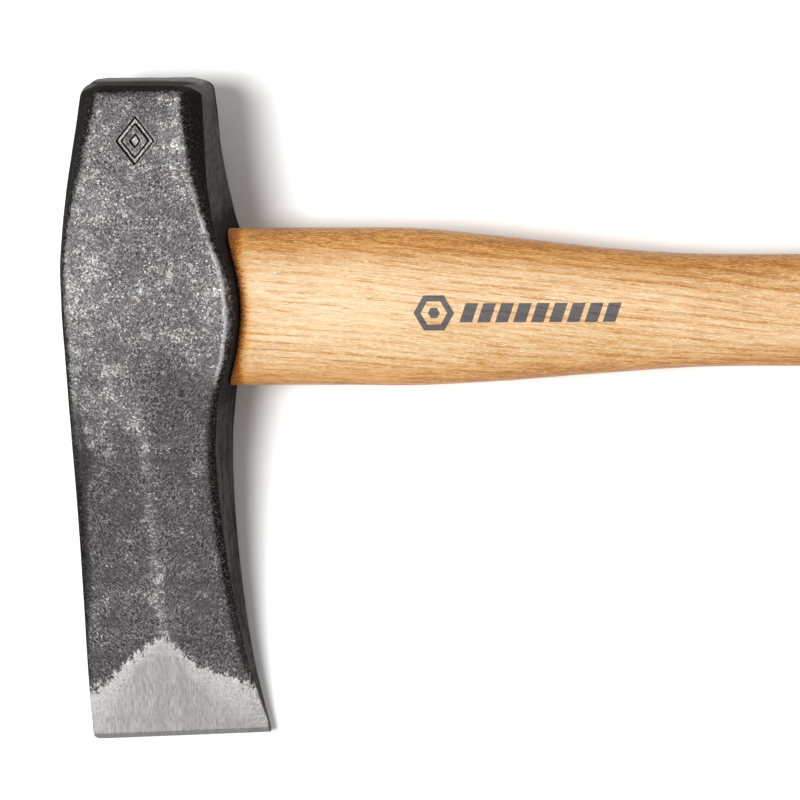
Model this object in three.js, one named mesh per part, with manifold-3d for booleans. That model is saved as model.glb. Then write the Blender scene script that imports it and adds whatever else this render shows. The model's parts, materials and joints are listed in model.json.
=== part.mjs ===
// Splitting maul: a forged wedge-shaped steel head on a long hickory handle. The handle's tenon fills
// the eye of the head and is spread there by a wooden wedge, and a steel ring wedge locks that wedge.
//
// Each piece is made in the maul's own directions: X runs along the handle from the eye to the grip,
// Y from the cutting edge to the poll, and Z through the thickness, with zero at the eye's centre.
// The last section lays the maul on its side, as it rests on a floor. Sizes are in millimetres.

import * as THREE from "three";
import { mergeVertices } from "three/addons/utils/BufferGeometryUtils.js";
import Module from "manifold-3d";

// ---- Driving dimensions -------------------------------------------------------------------------

const GAP = 0.3; // clearance between pieces that touch on the real tool

// Head
const POLL_Y = 73.7; // striking face of the poll
const EDGE_Y = -142.2; // cutting edge, at the eye's centre line
const EDGE_SKEW = 0.048; // rise of the edge toward the grip, per millimetre of its length
const EDGE_HALF = 0.15; // half the thickness left at the cutting edge
const MICRO_BEVEL = 1.7; // height of the narrow bevel beside the edge
const MICRO_BEVEL_HALF = 1.0; // half thickness where that bevel ends
const BEVEL_Y = -108; // upper end of the ground bevel
const CHEEK_BREAK_Y = -44; // line between the blade's cheek and the eye's cheek
const EYE_TOP_Y = 2; // where the eye's cheek reaches full thickness
const POLL_BREAK_Y = 41; // where the poll starts to taper
const EYE_HALF = 26.2; // half the head's thickness at the eye
const EYE_CHEEK_ANGLE = 8.6; // degrees from the middle plane
const BLADE_CHEEK_ANGLE = 10.3;
const POLL_BREAK_HALF = 24.4;
const POLL_HALF = 17;
const BLADE_CROWN = 0.8; // bulge along the middle of each blade cheek
const POLL_CORNER = 4.2; // radius of the poll's corners, seen from the cheek
const POLL_CHAMFER = { height: 2.2, depth: 5 };

// Eye, and the tenon inside it: half heights along Y and half thicknesses along Z
const EYE_FAR = { height: 24.8, thickness: 13.6 };
const EYE_WAIST = { height: 23.6, thickness: 12.6 };
const EYE_GRIP = { height: 24.1, thickness: 13 };
const TENON_END_X = -29;

// Mark stamped into one cheek of the poll
const MARK = { x: -2.9, y: 56.5, halfWidth: 6.5, halfHeight: 8, line: 1.5, depth: 0.6 };

// Handle
const BUTT_X = 771;
const NECK_DROP = 1.5; // how far the grip's centre line lies toward the cutting edge
const KERF = { depth: 40, mouth: 5.4, bottom: 1.8 };
const BUTT_ROUNDING = 15;

// Steel ring wedge
const RING = { radius: 8.5, wall: 1.7, length: 14, taper: 0.6, proud: 0.4 };

// ---- Tools --------------------------------------------------------------------------------------

const wasm = await Module();
wasm.setup();

const clamp = THREE.MathUtils.clamp;
const radians = THREE.MathUtils.degToRad;

// A smooth value along an axis, through [place, value] pairs in rising order of place.
function smoothTrack(pairs) {
  const places = pairs.map((pair) => pair[0]);
  const values = pairs.map((pair) => pair[1]);
  const curve = new THREE.CubicInterpolant(places, values, 1);
  return (place) => curve.evaluate(clamp(place, places[0], places.at(-1)))[0];
}

// The same with straight stretches between the pairs.
function straightTrack(pairs) {
  const places = pairs.map((pair) => pair[0]);
  const values = pairs.map((pair) => pair[1]);
  const line = new THREE.LinearInterpolant(places, values, 1);
  return (place) => line.evaluate(clamp(place, places[0], places.at(-1)))[0];
}

// A closed body whose outline changes from station to station. It starts as a cylinder with as many
// sides as the outline has points, and each ring of vertices moves to its station's outline.
// outline(station) returns a ring of Vector3 points, counter-clockwise when the stations come closer.
function loft(stations, outline) {
  const rings = stations.map(outline);
  const sides = rings[0].length;
  const cylinder = new THREE.CylinderGeometry(1, 1, 1, sides, stations.length - 1);
  const position = cylinder.getAttribute("position");
  for (let i = 0; i < position.count; i++) {
    const ring = rings[Math.round((0.5 - position.getY(i)) * (stations.length - 1))];
    const [x, z] = [position.getX(i), position.getZ(i)];
    const turn = Math.round((Math.atan2(x, z) / (2 * Math.PI)) * sides + sides) % sides;
    const point = new THREE.Vector3();
    if (Math.hypot(x, z) > 0.5) {
      point.copy(ring[turn]);
    } else {
      ring.forEach((corner) => point.addScaledVector(corner, 1 / sides));
    }
    position.setXYZ(i, point.x, point.y, point.z);
  }
  return cylinder;
}

function toSolid(geometry) {
  const bare = geometry.clone();
  bare.deleteAttribute("normal");
  bare.deleteAttribute("uv");
  const merged = mergeVertices(bare, 1e-4);
  return new wasm.Manifold(
    new wasm.Mesh({
      numProp: 3,
      vertProperties: new Float32Array(merged.getAttribute("position").array),
      triVerts: new Uint32Array(merged.index.array),
    }),
  );
}

function toMesh(name, solid, look) {
  const result = solid.getMesh();
  const geometry = new THREE.BufferGeometry();
  geometry.setAttribute("position", new THREE.BufferAttribute(result.vertProperties, 3));
  geometry.setIndex(new THREE.BufferAttribute(result.triVerts, 1));
  geometry.computeVertexNormals();
  const mesh = new THREE.Mesh(geometry, new THREE.MeshStandardMaterial(look));
  mesh.name = name;
  return mesh;
}

// ---- Head ---------------------------------------------------------------------------------------

const breakHalf = EYE_HALF - (EYE_TOP_Y - CHEEK_BREAK_Y) * Math.tan(radians(EYE_CHEEK_ANGLE));
const bevelHalf = breakHalf - (CHEEK_BREAK_Y - BEVEL_Y) * Math.tan(radians(BLADE_CHEEK_ANGLE));

const halfThickness = straightTrack([
  [EDGE_Y, EDGE_HALF],
  [EDGE_Y + MICRO_BEVEL, MICRO_BEVEL_HALF],
  [BEVEL_Y, bevelHalf],
  [CHEEK_BREAK_Y, breakHalf],
  [EYE_TOP_Y, EYE_HALF],
  [20, 26],
  [32, 25.4],
  [POLL_BREAK_Y, POLL_BREAK_HALF],
  [POLL_Y, POLL_HALF],
]);

// The side of the head away from the grip, nearly straight.
const farSide = smoothTrack([
  [EDGE_Y, -25.9],
  [-135, -26.2],
  [-60, -26.5],
  [-20, -27.5],
  [10, -28],
  [40, -25.7],
  [POLL_Y, -21.9],
]);

// The side toward the grip: it flares to the edge and bulges round the handle.
const gripSide = smoothTrack([
  [EDGE_Y, 33.1],
  [-118, 27.2],
  [-92, 23.1],
  [-62, 20.4],
  [-42, 20.2],
  [-27, 22.2],
  [-12, 26.8],
  [1, 28.5],
  [12, 27.2],
  [26, 22.8],
  [40, 20],
  [POLL_Y, 16.8],
]);

// Corner bevels between cheek and side: across the width, and through the thickness.
const bevelAcross = smoothTrack([
  [EDGE_Y, 0.1],
  [-105, 0.8],
  [-35, 1.8],
  [0, 2.4],
  [26, 1.9],
  [44, 3.1],
  [66, 5],
  [POLL_Y, 5],
]);
const bevelThrough = smoothTrack([
  [EDGE_Y, 0.1],
  [-110, 1],
  [-45, 2.2],
  [0, 3.4],
  [41, 5.4],
  [60, 6.8],
  [POLL_Y, 6.8],
]);

const bladeCrown = smoothTrack([
  [EDGE_Y, 0],
  [EDGE_Y + MICRO_BEVEL, 0.1],
  [BEVEL_Y, BLADE_CROWN],
  [-80, BLADE_CROWN],
  [CHEEK_BREAK_Y, 0],
  [POLL_Y, 0],
]);

// The ten-cornered outline of the head at one height, grown outward by spare.
function headOutline(y, spare = 0) {
  const intoCorner = Math.max(0, y - (POLL_Y - POLL_CORNER));
  const cornerInset = POLL_CORNER - Math.sqrt(POLL_CORNER ** 2 - Math.min(intoCorner, POLL_CORNER) ** 2);
  const intoChamfer = Math.max(0, y - (POLL_Y - POLL_CHAMFER.height));
  const half = halfThickness(y) - (intoChamfer / POLL_CHAMFER.height) * POLL_CHAMFER.depth + spare;
  const left = farSide(y) + cornerInset - spare;
  const right = gripSide(y) - cornerInset + spare;
  const across = bevelAcross(y);
  const side = Math.max(half - bevelThrough(y), EDGE_HALF / 2);
  const ridge = half + bladeCrown(y);
  const middle = (left + right) / 2;
  const corners = [
    [right, side],
    [right - across, half],
    [middle, ridge],
    [left + across, half],
    [left, side],
    [left, -side],
    [left + across, -half],
    [middle, -ridge],
    [right - across, -half],
    [right, -side],
  ];
  const skewShare = clamp((BEVEL_Y - y) / (BEVEL_Y - EDGE_Y), 0, 1);
  return corners.map(([x, z]) => new THREE.Vector3(x, y + EDGE_SKEW * x * skewShare, z)).reverse();
}

const pollCornerStations = [90, 67.5, 45, 22.5, 0].map(
  (angle) => POLL_Y - POLL_CORNER * (1 - Math.sin(radians(angle))),
);
const headStations = [
  ...pollCornerStations,
  ...[64, 56, 48, POLL_BREAK_Y, 36, 32, 28, 24, 20, 15, 10, 6, EYE_TOP_Y],
  ...[-3, -8, -13, -18, -24, -30, -37, CHEEK_BREAK_Y, -54, -66, -80, -94],
  ...[BEVEL_Y, -125, EDGE_Y + MICRO_BEVEL, EDGE_Y],
];

// ---- Eye and tenon ------------------------------------------------------------------------------

const OVAL_SIDES = 32;
const OVAL_POWER = 0.88; // below 1, a fuller oval than an ellipse

function power(value, exponent) {
  return Math.sign(value) * Math.abs(value) ** exponent;
}

// An upright oval across the handle's axis.
function oval(x, halfHeight, halfThickness, centreY = 0) {
  return Array.from({ length: OVAL_SIDES }, (_, i) => {
    const angle = (2 * Math.PI * i) / OVAL_SIDES;
    const y = centreY + halfHeight * power(Math.cos(angle), OVAL_POWER);
    const z = halfThickness * power(Math.sin(angle), OVAL_POWER);
    return new THREE.Vector3(x, y, z);
  });
}

// The eye narrows from both sides to a waist, and everything that fills it is smaller by spare.
function eyeFilling(fromX, toX, spare) {
  const height = smoothTrack([[-30, EYE_FAR.height], [4, EYE_WAIST.height], [30, EYE_GRIP.height]]);
  const depth = smoothTrack([[-30, EYE_FAR.thickness], [4, EYE_WAIST.thickness], [30, EYE_GRIP.thickness]]);
  const places = [0, 0.25, 0.5, 0.75, 1].map((share) => THREE.MathUtils.lerp(toX, fromX, share));
  return toSolid(loft(places, (x) => oval(x, height(x) - spare, depth(x) - spare)));
}

// A lozenge-shaped groove round a small lozenge, both pressed square to the poll's cheek.
function stampedMark() {
  const lozenge = (share) => {
    const [w, h] = [MARK.halfWidth * share, MARK.halfHeight * share];
    return [[w, 0], [0, h], [-w, 0], [0, -h]].map(([x, y]) => new THREE.Vector2(x, y));
  };
  const innerShare = 1 - (2 * MARK.line) / MARK.halfWidth;
  const groove = new THREE.Shape(lozenge(1));
  groove.holes.push(new THREE.Path(lozenge(1 - MARK.line / MARK.halfWidth)));
  const middle = new THREE.Shape(lozenge(innerShare / 2));
  const press = { depth: 5, bevelEnabled: false };
  const lean = Math.atan2(POLL_BREAK_HALF - POLL_HALF, POLL_Y - POLL_BREAK_Y);
  const [first, second] = [groove, middle].map((shape) =>
    toSolid(
      new THREE.ExtrudeGeometry(shape, press)
        .translate(0, 0, -MARK.depth)
        .rotateX(-lean)
        .translate(MARK.x, MARK.y, halfThickness(MARK.y)),
    ),
  );
  return first.add(second);
}

function makeHead() {
  const forging = toSolid(loft(headStations, (y) => headOutline(y)));
  return forging.subtract(eyeFilling(-34, 34, 0)).subtract(stampedMark());
}

// ---- Handle -------------------------------------------------------------------------------------

const gripHalfHeight = smoothTrack([
  [0, 25.7],
  [60, 25.7],
  [84, 25.6],
  [112, 23.5],
  [142, 20.6],
  [172, 18.4],
  [210, 18],
  [420, 17.6],
  [600, 17.4],
  [670, 17.8],
  [715, 20],
  [748, 23.2],
  [BUTT_X, 24],
]);
const gripHalfThickness = smoothTrack([
  [0, 14.2],
  [70, 14],
  [170, 12.8],
  [420, 12.6],
  [640, 12.8],
  [715, 14.2],
  [BUTT_X, 15.8],
]);
const gripCentre = smoothTrack([
  [0, -0.1],
  [85, -0.2],
  [115, -0.9],
  [150, -1.5],
  [190, -NECK_DROP],
  [400, -NECK_DROP],
  [600, -2],
  [700, -3.4],
  [BUTT_X, -5],
]);

function gripOutline(x) {
  const intoButt = clamp((x - (BUTT_X - BUTT_ROUNDING)) / BUTT_ROUNDING, 0, 1);
  const shrink = 1 - 0.36 * (1 - Math.sqrt(1 - intoButt ** 2));
  return oval(x, gripHalfHeight(x) * shrink, gripHalfThickness(x) * shrink, gripCentre(x));
}

const buttStations = [90, 65, 40, 15].map(
  (angle) => BUTT_X - BUTT_ROUNDING * (1 - Math.sin(radians(angle))),
);
const gripStations = [
  ...buttStations,
  ...[748, 732, 716, 700, 684, 665, 640, 600, 500, 400, 300, 230, 205, 190],
  ...[178, 166, 154, 142, 130, 118, 106, 95, 84, 72, 60, 40, 15],
];

// A blade that tapers along X, from the mouth at the tenon's end to its bottom inside the handle.
function taperedSlot(spare, halfHeight) {
  const mouth = KERF.mouth / 2 - spare;
  const bottom = KERF.bottom / 2 - spare;
  const endX = TENON_END_X + KERF.depth - 2 * spare;
  const startX = spare > 0 ? TENON_END_X : TENON_END_X - 3;
  const profile = new THREE.Shape([
    new THREE.Vector2(startX, -mouth),
    new THREE.Vector2(endX, -bottom),
    new THREE.Vector2(endX, bottom),
    new THREE.Vector2(startX, mouth),
  ]);
  const slab = new THREE.ExtrudeGeometry(profile, { depth: 2 * halfHeight, bevelEnabled: false });
  return toSolid(slab.translate(0, 0, -halfHeight).rotateX(-Math.PI / 2));
}

// The ring's own body, grown on every side by spare.
function ringSleeve(spare) {
  const outerEnd = -RING.proud - spare;
  const innerEnd = RING.length + spare;
  const outer = RING.radius + spare;
  const inner = RING.radius - RING.wall - spare;
  const profile = [
    new THREE.Vector2(inner, outerEnd),
    new THREE.Vector2(outer, outerEnd),
    new THREE.Vector2(outer - RING.taper, innerEnd),
    new THREE.Vector2(inner + RING.taper / 2, innerEnd),
    new THREE.Vector2(inner, outerEnd),
  ];
  const sleeve = new THREE.LatheGeometry(profile, 36);
  return toSolid(sleeve.rotateZ(-Math.PI / 2).translate(TENON_END_X, 0, 0));
}

function makeHandle() {
  const envelope = toSolid(loft(headStations, (y) => headOutline(y, GAP)));
  const grip = toSolid(loft(gripStations, gripOutline)).subtract(envelope);
  const tenon = eyeFilling(TENON_END_X, 31, GAP);
  return grip.add(tenon).subtract(taperedSlot(0, 40)).subtract(ringSleeve(GAP));
}

function makeWoodenWedge() {
  const blank = taperedSlot(GAP, 40).intersect(eyeFilling(TENON_END_X, 31, GAP));
  return blank.subtract(ringSleeve(GAP));
}

// ---- Assembly -----------------------------------------------------------------------------------

const tool = new THREE.Group();
tool.add(
  toMesh("head", makeHead(), { color: 0x5c5c5e, roughness: 0.55, metalness: 0.85 }),
  toMesh("handle", makeHandle(), { color: 0xdfb27c, roughness: 0.5, metalness: 0 }),
  toMesh("wooden_wedge", makeWoodenWedge(), { color: 0xb98a55, roughness: 0.7, metalness: 0 }),
  toMesh("steel_ring_wedge", ringSleeve(0), { color: 0x86888c, roughness: 0.4, metalness: 0.9 }),
);

// At rest the lower cheek of the eye lies on the floor, which raises the poll, and the handle comes
// down until its butt touches the floor as well.
tool.rotation.x = radians(EYE_CHEEK_ANGLE);
const lying = new THREE.Group();
lying.add(tool);

function lowestPoint(name) {
  lying.updateMatrixWorld(true);
  return new THREE.Box3().setFromObject(lying.getObjectByName(name), true).min.z;
}

const LEVELLING_STEPS = 4;
for (let step = 0; step < LEVELLING_STEPS; step++) {
  lying.rotation.y += (lowestPoint("handle") - lowestPoint("head")) / BUTT_X;
}

const maul = new THREE.Group();
maul.add(lying);

// The origin is under the middle of the maul, on the floor.
const bounds = new THREE.Box3().setFromObject(maul, true);
lying.position.set(
  -(bounds.min.x + bounds.max.x) / 2,
  -(bounds.min.y + bounds.max.y) / 2,
  -bounds.min.z,
);

export default maul;
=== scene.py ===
"""Splitting maul lying on its side on a pale floor: the looks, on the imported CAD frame."""

import json
import math
from functools import cached_property, partialmethod

import bmesh
import bpy
import numpy as np
from mathutils import Matrix, Vector


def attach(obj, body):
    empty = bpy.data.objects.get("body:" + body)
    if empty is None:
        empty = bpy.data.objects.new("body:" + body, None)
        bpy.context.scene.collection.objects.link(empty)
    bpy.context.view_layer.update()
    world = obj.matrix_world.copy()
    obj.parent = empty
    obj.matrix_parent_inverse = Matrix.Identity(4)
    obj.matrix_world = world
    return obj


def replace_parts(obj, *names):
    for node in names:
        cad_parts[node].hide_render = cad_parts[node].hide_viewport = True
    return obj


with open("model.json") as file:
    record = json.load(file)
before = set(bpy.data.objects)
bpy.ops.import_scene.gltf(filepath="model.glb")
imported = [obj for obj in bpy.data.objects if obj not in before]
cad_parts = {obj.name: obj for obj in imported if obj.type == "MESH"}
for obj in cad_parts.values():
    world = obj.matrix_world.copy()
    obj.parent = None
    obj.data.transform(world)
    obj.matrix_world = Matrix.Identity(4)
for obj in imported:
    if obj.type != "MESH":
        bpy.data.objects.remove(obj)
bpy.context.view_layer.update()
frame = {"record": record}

MM = 0.001

# ---- Driving dimensions, the CAD model's own, in millimetres -------------------------------------

GAP = 0.3
POLL_Y = 73.7
EDGE_Y = -142.2
EDGE_SKEW = 0.048
EDGE_HALF = 0.12
MICRO_BEVEL = 1.7
MICRO_BEVEL_HALF = 1.0
BEVEL_Y = -108
CHEEK_BREAK_Y = -44
EYE_TOP_Y = 2
POLL_BREAK_Y = 41
EYE_HALF = 26.2
EYE_CHEEK_SLOPE = math.tan(math.radians(8.6))
BLADE_CHEEK_SLOPE = math.tan(math.radians(10.3))
POLL_BREAK_HALF = 24.4
POLL_HALF = 17
BLADE_CROWN = 0.8
POLL_CORNER = 4.2
POLL_CHAMFER_HEIGHT = 2.2
POLL_CHAMFER_DEPTH = 5
POLL_CROWN = 0.3
TENON_END_X = -29
BUTT_X = 771
BUTT_ROUNDING = 15

# ---- The tool's own directions -------------------------------------------------------------------
# x runs along the handle from the eye to the grip, y from the cutting edge to the poll, and z
# through the thickness. TOOL carries them to the row frame, and is found from the record's two
# flat faces.

mounts = {mount["name"]: mount for mount in frame["record"]["mounts"]}
POLL_POINT = Vector((-2, POLL_Y, 2))  # where the poll_face mount is in the tool's directions

toward_poll = Vector(mounts["poll_face"]["axis"]).normalized()
out_of_cheek = Vector(mounts["resting_cheek"]["axis"]).normalized()
along_handle = out_of_cheek.cross(toward_poll).normalized()
through_head = along_handle.cross(toward_poll)
TURN = Matrix((along_handle, toward_poll, through_head)).transposed()
EYE = Vector(mounts["poll_face"]["pos_m"]) - TURN @ (POLL_POINT * MM)
TOOL = Matrix.Translation(EYE) @ TURN.to_4x4() @ Matrix.Scale(MM, 4)

# ---- Tools ---------------------------------------------------------------------------------------


def smooth_track(pairs):
    """A smooth value along an axis through [place, value] pairs, for arrays of places."""
    places, values = np.array(pairs, float).T
    steps = np.diff(places)
    slopes = np.diff(values) / steps
    tangent = np.empty_like(values)
    tangent[1:-1] = (slopes[:-1] * steps[1:] + slopes[1:] * steps[:-1]) / (steps[:-1] + steps[1:])
    tangent[0] = slopes[0]
    tangent[-1] = slopes[-1]

    def at(place):
        place = np.clip(place, places[0], places[-1])
        k = np.clip(np.searchsorted(places, place) - 1, 0, len(steps) - 1)
        t = (place - places[k]) / steps[k]
        low = (1 + 2 * t) * (1 - t) ** 2 * values[k] + t * (1 - t) ** 2 * tangent[k] * steps[k]
        high = t**2 * (3 - 2 * t) * values[k + 1] - t**2 * (1 - t) * tangent[k + 1] * steps[k]
        return low + high

    return at


def straight_track(pairs):
    """As smooth_track, but straight from place to place."""
    places, values = np.array(pairs, float).T
    return lambda place: np.interp(place, places, values)


def smoothstep(low, high, value):
    """0 up to low, 1 from high on, and smooth between; low may be the higher one."""
    t = np.clip((value - low) / (high - low), 0, 1)
    return t * t * (3 - 2 * t)


CELL_PRIMES = np.array([73856093, 19349663, 83492791])
SEED_PRIME, MIXING_PRIME = 2654435761, 1274126177
HASH_TOP = 0xFFFF
SEED_SHIFT = 7.31


def lumps(points, size, seed):
    """Smooth random relief from -1 to 1 over an (n, 3) array of points, in lumps one size wide."""
    place = points / size + SEED_SHIFT * seed
    cell = np.floor(place).astype(np.int64)
    part = place - cell
    part = part * part * (3 - 2 * part)
    total = np.zeros(len(points))
    for corner in np.ndindex(2, 2, 2):
        key = (cell + corner) @ CELL_PRIMES + seed * SEED_PRIME
        key = (key ^ (key >> 13)) * MIXING_PRIME & 0x7FFFFFFF
        key = (key ^ (key >> 15)) & HASH_TOP
        weight = np.prod(np.where(corner, part, 1 - part), axis=1)
        total += weight * (key / (HASH_TOP / 2) - 1)
    return total


def soften(rings, across, along):
    """Gaussian smoothing of a (rows, points, 3) grid, across closed rings and along the rows."""

    def kernel(spread):
        reach = np.arange(-int(3 * spread + 1), int(3 * spread + 2))
        weights = np.exp(-0.5 * (reach / spread) ** 2)
        return reach, weights / weights.sum()

    reach, weights = kernel(across)
    rings = sum(w * np.roll(rings, r, axis=1) for r, w in zip(reach, weights))
    reach, weights = kernel(along)
    rows = np.arange(len(rings))
    return sum(w * rings[np.clip(rows + r, 0, len(rings) - 1)] for r, w in zip(reach, weights))


def new_object(name, vertices, faces):
    """A linked object with its faces turned outward."""
    mesh = bpy.data.meshes.new(name)
    mesh.from_pydata(vertices, [], faces)
    shape = bmesh.new()
    shape.from_mesh(mesh)
    bmesh.ops.recalc_face_normals(shape, faces=shape.faces)
    shape.to_mesh(mesh)
    shape.free()
    made = bpy.data.objects.new(name, mesh)
    bpy.context.scene.collection.objects.link(made)
    return made


def mesh_object(name, rings, end_cap="fan"):
    """A closed object from a (rows, points, 3) grid of rings in tool millimetres.

    A cap is a fan to the ring's middle. The last one may be a strip instead, which joins the ring's
    two halves along a thin edge."""
    rows, points, _ = rings.shape
    vertices = [tuple(p) for p in rings.reshape(-1, 3)]
    faces = []
    for row in range(rows - 1):
        for k in range(points):
            a, b = row * points + k, row * points + (k + 1) % points
            faces.append((a, b, b + points, a + points))
    for cap, row in (("fan", 0), (end_cap, rows - 1)):
        ring = [row * points + k for k in range(points)]
        if cap == "fan":
            vertices.append(tuple(rings[row].mean(axis=0)))
            faces += [(ring[k], ring[(k + 1) % points], len(vertices) - 1) for k in range(points)]
            continue
        for k in range(points // 2):
            corners = (ring[k], ring[k + 1], ring[points - k - 1], ring[(points - k) % points])
            faces.append(tuple(dict.fromkeys(corners)))  # three corners at the strip's ends
    return new_object(name, vertices, faces)


def loop_object(name, rings):
    """A closed ring-shaped object: the last row joins the first."""
    rows, points, _ = rings.shape
    faces = []
    for row in range(rows):
        here, following = row * points, (row + 1) % rows * points
        for k in range(points):
            after = (k + 1) % points
            faces.append((here + k, here + after, following + after, following + k))
    return new_object(name, [tuple(p) for p in rings.reshape(-1, 3)], faces)


def cut_away(made, *cutters):
    """Cuts the cutters out of an object for good."""
    for cutter in cutters:
        cut = made.modifiers.new("cut", "BOOLEAN")
        cut.object = cutter
        cut.operation = "DIFFERENCE"
        cut.solver = "MANIFOLD"
    graph = bpy.context.evaluated_depsgraph_get()
    result = bpy.data.meshes.new_from_object(made.evaluated_get(graph))
    made.modifiers.clear()
    made.data = result
    for cutter in cutters:
        bpy.data.objects.remove(cutter)


def tool_points(made):
    """The (n, 3) array of a mesh's points, in tool millimetres."""
    points = np.empty(len(made.data.vertices) * 3)
    made.data.vertices.foreach_get("co", points)
    return points.reshape(-1, 3)


def put_value(made, name, values):
    """Paints a value for each point, which Shader.value reads."""
    attribute = made.data.attributes.new(name, "FLOAT", "POINT")
    attribute.data.foreach_set("value", np.asarray(values, np.float32))


def finish_piece(made, node, material, sharp_angle=40):
    """Smooth shading, material, row frame, body and CAD node of one finished piece."""
    made.data.transform(TOOL)
    made.data.polygons.foreach_set("use_smooth", [True] * len(made.data.polygons))
    made.data.set_sharp_from_angle(angle=math.radians(sharp_angle))
    made.data.materials.clear()
    made.data.materials.append(material)
    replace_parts(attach(made, "root"), node)


# ---- Camera and light ----------------------------------------------------------------------------

FRAME_WIDTH = 258.1 * MM  # width seen at the maul's own height
CAMERA_RISE = 1930 * MM
CAMERA_PAST_EYE = Vector((371, -15.5)) * MM  # along the row's X and Y
AIM_PAST_EYE = Vector((78.8, -30.3)) * MM
SENSOR_WIDTH, CLIP_END = 36, 100
KEY_PLACE, KEY_WIDTH, KEY_POWER = Vector((-0.92, -0.16, 3.05)), 1.3, 116  # from the aim, m and W
SKY_HORIZON, SKY_TOP, SKY_TOP_HEIGHT = 0.62, 0.43, 0.6

camera_data = bpy.data.cameras.new("camera")
camera = bpy.data.objects.new("camera", camera_data)
bpy.context.scene.collection.objects.link(camera)
bpy.context.scene.camera = camera
camera.location = EYE + Vector((*CAMERA_PAST_EYE, CAMERA_RISE))
aim = EYE + Vector((*AIM_PAST_EYE, 0))
away = camera.location - aim
look_x = Vector((1, 0, 0))
look_x = (look_x - away * look_x.dot(away) / away.dot(away)).normalized()
back = away.normalized()
camera.rotation_euler = Matrix((look_x, back.cross(look_x), back)).transposed().to_euler()
camera_data.sensor_width = SENSOR_WIDTH
camera_data.lens = SENSOR_WIDTH * away.length / FRAME_WIDTH
camera_data.clip_end = CLIP_END

key_data = bpy.data.lights.new("key", "AREA")
key_data.shape = "DISK"
key_data.size = KEY_WIDTH
key_data.energy = KEY_POWER
key = bpy.data.objects.new("key", key_data)
key.location = aim + KEY_PLACE
key.rotation_euler = KEY_PLACE.to_track_quat("Z", "Y").to_euler()
bpy.context.scene.collection.objects.link(key)

world = bpy.data.worlds.new("studio")
bpy.context.scene.world = world
world.use_nodes = True
sky = world.node_tree.nodes
height = sky.new("ShaderNodeSeparateXYZ")
world.node_tree.links.new(sky.new("ShaderNodeTexCoord").outputs["Generated"], height.inputs[0])
fade = sky.new("ShaderNodeMapRange")
for place, value in ((1, 0.0), (2, SKY_TOP_HEIGHT), (3, SKY_HORIZON), (4, SKY_TOP)):
    fade.inputs[place].default_value = value
world.node_tree.links.new(height.outputs["Z"], fade.inputs[0])
world.node_tree.links.new(fade.outputs[0], sky["Background"].inputs["Strength"])
sky["Background"].inputs["Color"].default_value = (1, 1, 1, 1)
bpy.context.scene.view_settings.view_transform = "Standard"

# ---- Node helper ---------------------------------------------------------------------------------

SEED_STEPS = (3.7, 5.1, 2.3)


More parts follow.
